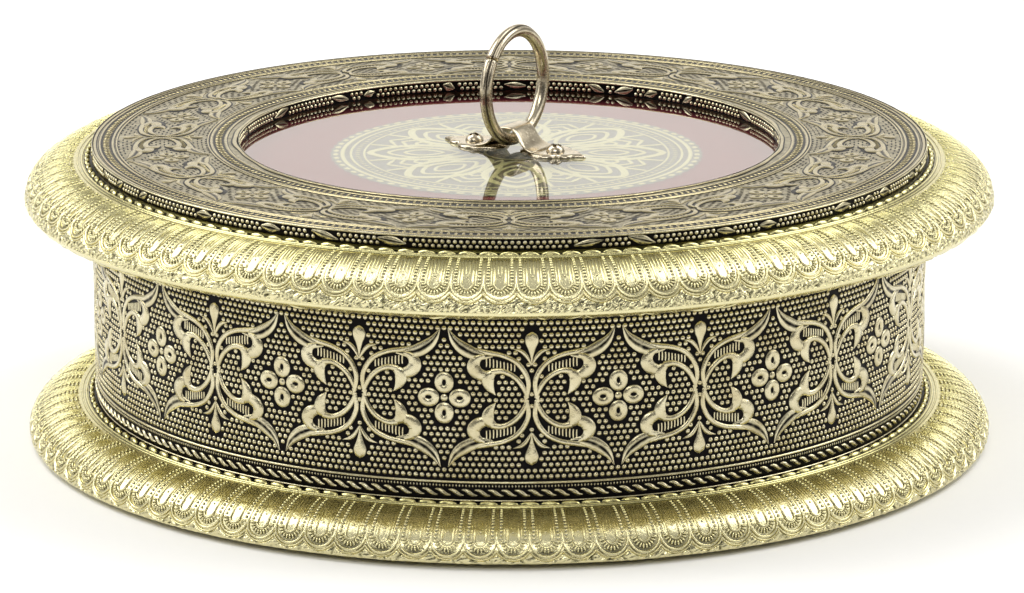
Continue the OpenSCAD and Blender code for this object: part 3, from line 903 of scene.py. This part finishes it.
class SPICEBOX_OT_drum_band(bpy.types.Operator):
    """Add the blackened foil band with its leaf scrolls, flowers, dots and twisted rope"""

    bl_idname = "spicebox.drum_band"
    bl_label = "Drum band"

    def execute(self, context):
        s = sizes()
        around = TAU * DRUM_R
        pitch = around / s.arabesques
        # The foil's cut edges are turned in at the top and the bottom
        turned = DRUM_R - 0.3
        wall = [(turned, DRUM_Z1), (DRUM_R, DRUM_Z1), (DRUM_R, DRUM_Z0), (turned, DRUM_Z0)]
        piece("drum_band_ground", lathe(wall, 256), "blackened", "box", ["drum_band"], smooth=False)
        patch, lines = scroll()
        bloom, bloom_lines = flower(pitch / 2, 0)
        middle_z = s.pinch_height / MM
        turn = math.radians(2.9) * DRUM_R
        place = on_drum(DRUM_R, middle_z)
        scrolls = moved(repeated(join([patch, bloom]), s.arabesques, pitch), turn)
        piece("drum_band_scrolls", lay(scrolls, place), "blackened", "box")
        row = s.dot_row / MM
        high = DRUM_Z1 - middle_z
        spots = lattice(pitch / s.dots_per_repeat, row, s.dots_per_repeat, -18.0, high - 1.2)
        spots = clear_of(spots, lines + bloom_lines, 0.3, pitch)
        dots = domes(spots, s.dot_radius / MM, 0.4)
        dots = moved(repeated(dots, s.arabesques, pitch), turn)
        piece("drum_band_dots", lay(dots, place), "blackened", "box")
        # Under the dots: a plain line, fine ticks and the twisted rope
        low = DRUM_Z0 - middle_z
        ticks = round_row(4 * s.rope_turns, around, low + 3.85)
        strand = [(-1.7, 0.62, 0.3, 0.2), (-0.8, 0.52, 0.85, 0.45), (0, 0, 1.15, 0.6),
                  (0.8, -0.52, 0.85, 0.45), (1.7, -0.62, 0.3, 0.2)]
        rope = repeated(ridge(strand, 9), s.rope_turns, around / s.rope_turns)
        border = [
            ring_line(low + 4.7, 0.6, 0.3, around),
            domes(ticks, 0.2, 0.2, 5, 1.8),
            moved(rope, 0, low + 2.3),
            ring_line(low + 0.45, 0.5, 0.25, around),
            ring_line(high - 0.5, 0.6, 0.3, around),
        ]
        piece("drum_band_border", join([lay(p, place) for p in border]), "blackened", "box")
        return {"FINISHED"}


class SPICEBOX_OT_lid_ring(bpy.types.Operator):
    """Add the engraved foil of the lid's flat ring, its folded lip and its dotted edges"""

    bl_idname = "spicebox.lid_ring"
    bl_label = "Lid ring"

    def execute(self, context):
        s = sizes()
        # The line on which the scrolls stand, near the middle of the ring
        middle = 82.5
        around = TAU * middle
        pitch = around / s.ring_repeats
        flat = on_ring(middle, FACE_Z)
        face = [(OPENING_R, BOARD_Z1), (OPENING_R, FACE_Z), (DRUM_R, FACE_Z), (DRUM_R, BOARD_Z1)]
        # The flat foil is rubbed almost clean, so that only its grooves stay black
        ground = lathe(face, 256, (1, 0.56, 0.56, 1))
        piece("lid_ring_ground", ground, "antiqued", "lid", ["top_ring_foil"], smooth=False)
        patch, lines = scroll(pitch / 38.88, 0.62, 1.0, GROOVED)
        bloom, bloom_lines = flower(pitch / 2, 0, 2.9, 1.05, 1.6)
        # Flat relief: the ring is engraved rather than embossed, so its heights are halved
        patch = join([patch, bloom])
        patch = moved(patch._replace(points=patch.points * (1, 1, 0.5)), 0, middle)
        spots = lattice(pitch / 17, 0.98, 17, -10.3, 10.5)
        spots = clear_of(spots, lines + bloom_lines, 0.5, pitch)
        # Short strokes of the graver, black all over
        dashes = moved(domes(spots, 0.26, 0.08, 6, 3.6, math.pi / 2), 0, middle)
        dashes = dashes._replace(hollow=np.ones(len(dashes.points)))
        repeat = repeated(join([patch, dashes]), s.ring_repeats, pitch)
        rings = []
        plain = ((98.5, 0.8), (97.3, 0.5), (94.2, 0.6), (93.3, 0.4),
                 (71.7, 0.4), (70.9, 0.6), (67.4, 0.6))
        for radius, width in plain:
            rings.append(ring_line(radius, width, 0.22, around, section=GROOVED))
        for radius, count, long in ((95.75, 360, 1.05), (69.15, 260, 1.1)):
            rings.append(ring_line(radius, 3.0, 1, around, section=BLACKING_AND_SHADE))
            rings.append(domes(round_row(count, around, radius), 0.4, 0.26, 6, long / 0.4))
        engraved = join([lay(p, flat) for p in [repeat] + rings])
        piece("lid_ring_engraving", engraved, "antiqued", "lid")
        self.lip(middle, around)
        self.edges()
        return {"FINISHED"}

    def lip(self, middle, around):
        """The foil's folded lip round the opening: a line whose place and width wander."""
        x = np.linspace(0, around, 361)
        a = x / middle
        wander = 0.22 * np.sin(7 * a + 0.5) + 0.16 * np.sin(13 * a + 2) + 0.1 * np.sin(29 * a)
        rows = np.stack([x, OPENING_R + 0.55 + wander, 1.0 + 0.5 * wander, 0.3 + 0.15 * wander], 1)
        lip = lay(ridge(rows, 721, GROOVED), on_ring(middle, FACE_Z))
        piece("lid_ring_lip", lip, "antiqued", "lid")

    def edges(self):
        """The strips round the ring's outer edge and its opening: two rows of dots between gold
        lines, with bits of leaf where the cut strip crossed one."""
        rng = np.random.default_rng(7)
        for name, radius, inward, node in (
            ("lid_ring_outer_edge", BOARD_R, False, "top_ring_edge_strip"),
            ("lid_ring_inner_edge", OPENING_R, True, "opening_edge_strip"),
        ):
            around = TAU * radius
            count = round(around / 1.4)
            place = on_drum(radius, BOARD_Z0, inward)
            spots = lattice(around / count, 1.05, count, 0.75, 2.0)
            leaves, lines = [], []
            x = 0.0
            while x < around - 30:
                x += rng.uniform(7, 24)
                size = rng.uniform(1.4, 3.4)
                tilt = rng.uniform(-0.9, 0.9)
                rows = [(x - size, 1.4 - tilt, 0.5, 0.2), (x, 1.4, rng.uniform(1.6, 2.6), 0.36),
                        (x + size, 1.4 + tilt, 0.2, 0.2)]
                leaves.append(ridge(rows, 9, VEINED))
                lines.append((np.array(rows), False))
            spots = clear_of(spots, lines, 0.45, around)
            wall = [(radius, BOARD_Z0 - 0.02), (radius, FACE_Z)]
            skin = lathe(wall if inward else wall[::-1], 256)
            dots = domes(spots, 0.56, 0.42)
            relief = [ring_line(2.8, 0.5, 0.25, around), dots] + leaves
            patch = join([skin] + [lay(p, place) for p in relief])
            piece(name, patch, "blackened", "lid", [node])


class SPICEBOX_OT_medallion(bpy.types.Operator):
    """Add the pressed foil medallion that lies under the glass"""

    bl_idname = "spicebox.medallion"
    bl_label = "Medallion"

    def execute(self, context):
        low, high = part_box("medallion")
        centre = np.array([(low.x + high.x) / 2, (low.y + high.y) / 2, high.z]) / MM
        radius = (high.x - low.x) / 2 / MM
        a = np.arange(576) * TAU / 576
        # The edge is scalloped: 72 small waves, 0.5 mm deep
        edge = radius - 0.5 * np.abs(np.sin(36 * a))
        rings = np.linspace(0.0, 1, 12)
        x = np.outer(np.sin(a) * edge, rings)
        y = np.outer(-np.cos(a) * edge, rings)
        disc = lathe(np.stack([rings, 0 * rings], 1), len(a))
        grid = np.stack([x, y, np.full(x.shape, 0.02)], -1).reshape(-1, 3)
        disc = Patch(grid, np.full(len(grid), 0.75), disc.quads[:, ::-1], disc.tris)
        reference = 30.0
        around = TAU * reference
        place = on_ring(reference, 0.02)
        circles = ((41.6, 1.3), (39.6, 0.8), (36.4, 0.7), (7.5, 1.0))
        relief = [ring_line(r, width, 0.16, around, 240) for r, width in circles]
        relief.append(domes(round_row(72, around, 43.2, 0.5), 1.0, 0.16, 8, 0.9))
        relief.append(domes(round_row(120, around, 38.0), 0.32, 0.14, 6, 2.6))
        relief = [lay(p, place) for p in relief]
        sector = self.sector()
        for i in range(8):
            t = TAU * i / 8
            turn = np.array([[math.cos(t), math.sin(t), 0], [-math.sin(t), math.cos(t), 0], [0, 0, 1]])
            relief.append(sector._replace(points=sector.points @ turn + (0, 0, 0.02)))
        whole = join([disc] + relief)
        whole = whole._replace(points=whole.points + centre)
        piece("medallion_foil", whole, "medallion", "lid", ["medallion"])
        return {"FINISHED"}

    def sector(self):
        """An eighth of the star, pointing along y: an almond petal in nested outlines, and beside
        it half of the kites with their chevrons."""
        parts = []
        for scale, width in ((1.0, 2.1), (0.66, 1.2), (0.36, 1.0)):
            half = [(0, 9.5), (4.9, 15), (7.4, 21.5), (6.2, 28.5), (0, 35.0)]
            outline = np.array(half + [(-px, py) for px, py in half[-2:0:-1]], float)
            outline = (outline - (0, 22)) * scale + (0, 22)
            rows = np.hstack([outline, np.tile((width, 0.16), (len(outline), 1))])
            parts.append(ridge(rows, 40, FLAT, True))
        lean = math.pi / 8
        out = np.array([math.sin(lean), math.cos(lean)])
        side = np.array([out[1], -out[0]])
        # Chevrons in the kite between two petals, wider towards the rim
        for r in (19.0, 22.6, 26.2, 29.8, 33.0):
            wide = 0.9 + 0.2 * (r - 16)
            for way in (-1, 1):
                foot, tip = out * (r - 0.8 * wide) + way * side * wide, out * r
                rows = [(*foot, 0.5, 0.12), (*((foot + tip) / 2), 1.1, 0.16), (*tip, 0.9, 0.16)]
                parts.append(ridge(rows, 4, FLAT))
        for way in (-1, 1):
            start, end = out * 8.5, out * 35.5 + way * side * 5.6
            mid = out * 20 + way * side * 3.6
            parts.append(ridge([(*start, 0.6, 0.12), (*mid, 1.4, 0.16), (*end, 1.0, 0.16)], 8, FLAT))
        return join(parts)


def tube_grid(rows, columns):
    """Quads of a grid of points whose columns close on themselves."""
    i, j = np.meshgrid(np.arange(rows - 1) * columns, np.arange(columns), indexing="ij")
    k, n = (j + 1) % columns, i + columns
    return np.stack([i + j, i + k, n + k, n + j], -1).reshape(-1, 4)


def capped(grid, hollow):
    """A closed solid from loops of points (rows) joined in turn, with a fan over each end loop;
    the faces are turned outwards by the sign of the volume that they enclose."""
    rows, columns = grid.shape[:2]
    points = np.vstack([grid.reshape(-1, 3), grid[0].mean(0), grid[-1].mean(0)])
    quads = tube_grid(rows, columns)
    j = np.arange(columns)
    k = (j + 1) % columns
    end = (rows - 1) * columns
    tris = np.vstack([
        np.stack([k, j, 0 * j + rows * columns], 1),
        np.stack([end + j, end + k, 0 * j + rows * columns + 1], 1),
    ])
    both = np.vstack([quads[:, [0, 1, 2]], quads[:, [0, 2, 3]], tris])
    a, b, c = (points[both[:, i]] - points.mean(0) for i in range(3))
    if np.einsum("ij,ij->", a, np.cross(b, c)) < 0:
        quads, tris = quads[:, ::-1], tris[:, ::-1]
    shade = np.append(np.broadcast_to(hollow, (rows, columns)).reshape(-1), [0.0, 0.0])
    return Patch(points, shade, quads, tris)


class SPICEBOX_OT_pull(bpy.types.Operator):
    """Add the ring pull: its rolled wire ring, its scalloped plate and the strap over the wire"""

    bl_idname = "spicebox.pull"
    bl_label = "Ring pull"

    def execute(self, context):
        joint = [j for j in frame["joints"] if j["name"] == "pull_hinge"][0]
        self.hinge = np.array(joint["axis"])
        self.long = np.array([self.hinge[1], -self.hinge[0], 0.0])
        low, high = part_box("pull_plate")
        self.centre = np.array([(low.x + high.x) / 2, (low.y + high.y) / 2, low.z]) / MM
        piece("pull_wire_ring", self.ring(), "nickel", "ring", ["pull_ring"])
        plate = join([self.ear(1), self.ear(-1), self.strap()])
        piece("pull_plate_sheet", plate, "nickel", "lid", ["pull_plate"])
        dress(finish("nickel")[0], "pull_screws")
        return {"FINISHED"}

    def at(self, x, y, z):
        """Points from the plate's own frame: x along the plate, y along the hinge, z up."""
        x, y, z = np.broadcast_arrays(x, y, z)
        axes = np.stack([self.long, self.hinge, (0, 0, 1.0)])
        return self.centre + np.stack([x, y, z], -1) @ axes

    def ring(self):
        """A circle swept round a circle. The sheet it is rolled from meets in a seam that faces
        outwards on one side, and its ends meet in a butt joint."""
        low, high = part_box("pull_ring")
        centre = np.array((low + high) / 2) / MM
        wire = 1.5
        radius = (high.z - low.z) / 2 / MM - wire
        gap = sizes().pull_gap / MM / radius
        start = math.radians(143)
        a = np.linspace(start + gap / 2, start + TAU - gap / 2, 161)
        b = np.linspace(0, TAU, 56, endpoint=False)
        off = (b - 0.55 + math.pi) % TAU - math.pi
        # Against the left arm the seam faces the front
        seam = np.exp(-((off / 0.16) ** 2))
        r = (wire - 0.4 * seam)[None, :]
        out = (radius + r * np.cos(b)[None, :])[..., None]
        ca, sa = np.cos(a)[:, None, None], np.sin(a)[:, None, None]
        side = (np.broadcast_to(r * np.sin(b), (len(a), len(b))))[..., None] * self.long
        grid = centre + out * (ca * self.hinge + sa * np.array([0, 0, 1.0])) + side
        return capped(grid, np.broadcast_to(seam[None, :] ** 0.7, (len(a), len(b))))

    def ear(self, way):
        """A domed leaf of sheet: rings shrink towards the screw, the height falls off as the
        fifth power of the distance, and the outline has a tip, a cusp and a round lobe a side."""
        # Degrees round the screw and reach from it, on one side
        reach = [(0, 8.4), (14, 6.3), (30, 5.9), (47, 5.0), (58, 4.3), (74, 5.3), (95, 6.2),
                 (118, 6.6), (140, 6.8), (158, 8.4), (180, 9.2)]
        reach = np.array(reach + [(360 - t, r) for t, r in reach[-2:0:-1]], float)
        angle, far = curve(np.vstack([reach, [(360, 8.4)]]), 97)[:-1].T
        angle = np.radians(angle)
        screw = 11.3
        rings = np.array([0.0, 0.25, 0.5, 0.7, 0.82, 0.9, 0.95, 0.985, 1.0])
        high = 0.72 + 0.32 * rings**2 - 0.75 * rings**14
        high[-1] = 0.08
        x = way * (screw + rings[:, None] * (far * np.cos(angle))[None, :])
        y = rings[:, None] * (far * np.sin(angle))[None, :]
        grid = self.at(x, y, high[:, None])
        under = self.at(x[::-1], y[::-1], np.full((len(rings), 1), 0.04))
        return capped(np.concatenate([grid, under]), 0.0)

    def strap(self):
        """A band over the wire: a rounded bar cross-section carried along a bell-shaped path,
        1 / (1 + (x / 3.7) to the fourth), wider at its feet."""
        x = np.linspace(-8.0, 8.0, 61)
        z = 0.3 + 5.2 / (1 + np.abs(x / 3.7) ** 4)
        slope = np.gradient(z, x)
        normal = np.stack([-slope, np.ones_like(slope)], 1) / np.hypot(slope, 1)[:, None]
        width = 8.5 + 2.2 * (np.abs(x) / 8.0) ** 3
        t = np.linspace(0, TAU, 20, endpoint=False)
        across = np.sign(np.cos(t)) * np.abs(np.cos(t)) ** 0.3 / 2
        thick = 0.32 * np.sign(np.sin(t)) * np.abs(np.sin(t)) ** 0.6
        grid = self.at(
            x[:, None] + normal[:, :1] * thick[None, :],
            width[:, None] * across[None, :],
            z[:, None] + 0.3 + normal[:, 1:] * thick[None, :],
        )
        return capped(grid, 0.0)


class SPICEBOX_OT_inside(bpy.types.Operator):
    """Finish the boards, linings, felt, glass, cups and spoon, whose CAD shapes are kept"""

    bl_idname = "spicebox.inside"
    bl_label = "Boards, linings, glass and cups"

    def execute(self, context):
        dress(raw_board(), "base_core", "drum_wall", "lid_core", "lid_spigot", "top_ring_board")
        dress(velvet_paper(), "wall_lining", "floor_lining", "lid_lining", "backing_velvet")
        dress(wool_felt(), "base_felt")
        dress(float_glass(), "glass_pane")
        dress(spun_steel(), "cup_centre", *(f"cup_{i}" for i in range(1, 7)), "spoon")
        return {"FINISHED"}


class SPICEBOX_OT_stage(bpy.types.Operator):
    """Add the pale floor and backdrop, the soft studio lights and the camera"""

    bl_idname = "spicebox.stage"
    bl_label = "Stage, lights and camera"

    def execute(self, context):
        scene = context.scene
        scene.view_settings.view_transform = "Standard"
        self.camera(scene)
        self.backdrop(scene)
        self.room(scene)
        # Each lamp's place, target and size in metres, and its watts
        self.lamp("overhead_left", (-1.0, 0.25, 1.1), (-0.1, 0.1, 0), (0.8, 1.5), 17)
        self.lamp("overhead_right", (1.0, 0.25, 1.1), (0.1, 0.1, 0), (0.8, 1.5), 14.5)
        self.lamp("left_box", (-1.3, -0.5, 0.6), (0, 0, 0.04), (0.5, 0.9), 2.2)
        self.lamp("right_box", (1.3, -0.4, 0.6), (0, 0, 0.04), (0.5, 0.9), 2.0)
        self.lamp("front_strip", (-0.2, -1.5, 1.3), (0, 0, 0.05), (1.2, 0.45), 7.5)
        self.lamp("back_box", (0, 2.0, 0.75), (0, 0, 0.1), (3.2, 1.1), 9, "#FFFAF1")
        return {"FINISHED"}

    def room(self, scene):
        """A dim room that is white overhead and dark low down in front, where the camera stands."""
        world = bpy.data.worlds.new("studio_room")
        world.use_nodes = True
        tree = world.node_tree
        tree.nodes.clear()
        towards = add(tree, "TexCoord").outputs["Generated"]
        # Share of the way from straight ahead and level to straight up and back
        share = add(tree, "VectorMath", {0: towards, 1: (0, 0.55, 0.83)}, operation="DOT_PRODUCT")
        light = {"From Min": -0.35, "From Max": 0.6, "To Min": 0.08, "To Max": 0.62}
        light = add(tree, "MapRange", {"Value": share.outputs["Value"], **light})
        back = add(tree, "Background", {"Color": linear("#FFFFFF"), "Strength": light})
        add(tree, "OutputWorld", {"Surface": back})
        scene.world = world

    def camera(self, scene):
        """A long lens 1.2 m away, looking down at 14.7 degrees."""
        data = bpy.data.cameras.new("camera")
        data.lens = 178.26
        data.sensor_width = 36
        data.clip_start, data.clip_end = 0.05, 60
        camera = bpy.data.objects.new("camera", data)
        scene.collection.objects.link(camera)
        target = Vector((0.00064, 0, 0.03205))
        away, height = 1.2177, math.radians(14.743)
        camera.location = target + Vector((0, -away * math.cos(height), away * math.sin(height)))
        camera.rotation_euler = (target - camera.location).to_track_quat("-Z", "Y").to_euler()
        scene.camera = camera

    def backdrop(self, scene):
        """A roll of paper: level floor that curves up into a wall behind, a quarter circle between."""
        bend, depth, height, width = 1.0, 2.5, 3.0, 12.0
        t = np.linspace(0, math.pi / 2, 24)
        y = np.concatenate([[-6.0], depth - bend + bend * np.sin(t), [depth]])
        z = np.concatenate([[0.0], bend - bend * np.cos(t), [height]])
        x = np.array([-width / 2, width / 2])
        points = np.stack([np.tile(x, len(y)), np.repeat(y, 2), np.repeat(z, 2)], 1)
        i = np.arange(len(y) - 1) * 2
        mesh = bpy.data.meshes.new("backdrop")
        mesh.from_pydata(points, [], np.stack([i, i + 1, i + 3, i + 2], 1).tolist())
        mesh.polygons.foreach_set("use_smooth", np.full(len(mesh.polygons), True))
        mesh.materials.append(studio_paper())
        paper = bpy.data.objects.new("backdrop", mesh)
        scene.collection.objects.link(paper)

    def lamp(self, name, place, target, size, watts, tone="#FFFFFF"):
        data = bpy.data.lights.new(name, "AREA")
        data.shape = "RECTANGLE"
        data.size, data.size_y = size
        data.energy = watts
        data.color = linear(tone)
        lamp = bpy.data.objects.new(name, data)
        bpy.context.scene.collection.objects.link(lamp)
        lamp.visible_camera = False
        lamp.location = place
        lamp.rotation_euler = (Vector(target) - Vector(place)).to_track_quat("-Z", "Y").to_euler()


OPERATORS = (
    SPICEBOX_OT_stage,
    SPICEBOX_OT_mouldings,
    SPICEBOX_OT_drum_band,
    SPICEBOX_OT_lid_ring,
    SPICEBOX_OT_medallion,
    SPICEBOX_OT_pull,
    SPICEBOX_OT_inside,
)


class SPICEBOX_PT_sidebar(bpy.types.Panel):
    bl_label = "Spice Box"
    bl_space_type = "VIEW_3D"
    bl_region_type = "UI"
    bl_category = "Spice Box"

    def draw(self, context):
        layout = self.layout
        for operator in OPERATORS:
            layout.operator(operator.bl_idname)
        for group in (context.scene.spice_box_sizes, context.scene.spice_box_colours):
            column = layout.column()
            for name in group.bl_rna.properties.keys():
                if name not in ("rna_type", "name"):
                    column.prop(group, name)


CLASSES = (SpiceBoxSizes, SpiceBoxColours, *OPERATORS, SPICEBOX_PT_sidebar)


def register():
    for item in CLASSES:
        bpy.utils.register_class(item)
    bpy.types.Scene.spice_box_sizes = bpy.props.PointerProperty(type=SpiceBoxSizes)
    bpy.types.Scene.spice_box_colours = bpy.props.PointerProperty(type=SpiceBoxColours)


def unregister():
    del bpy.types.Scene.spice_box_colours
    del bpy.types.Scene.spice_box_sizes
    for item in reversed(CLASSES):
        bpy.utils.unregister_class(item)


def main():
    register()
    for operator in OPERATORS:
        getattr(bpy.ops.spicebox, operator.bl_idname.split(".")[1])()


if __name__ == "__main__":
    main()
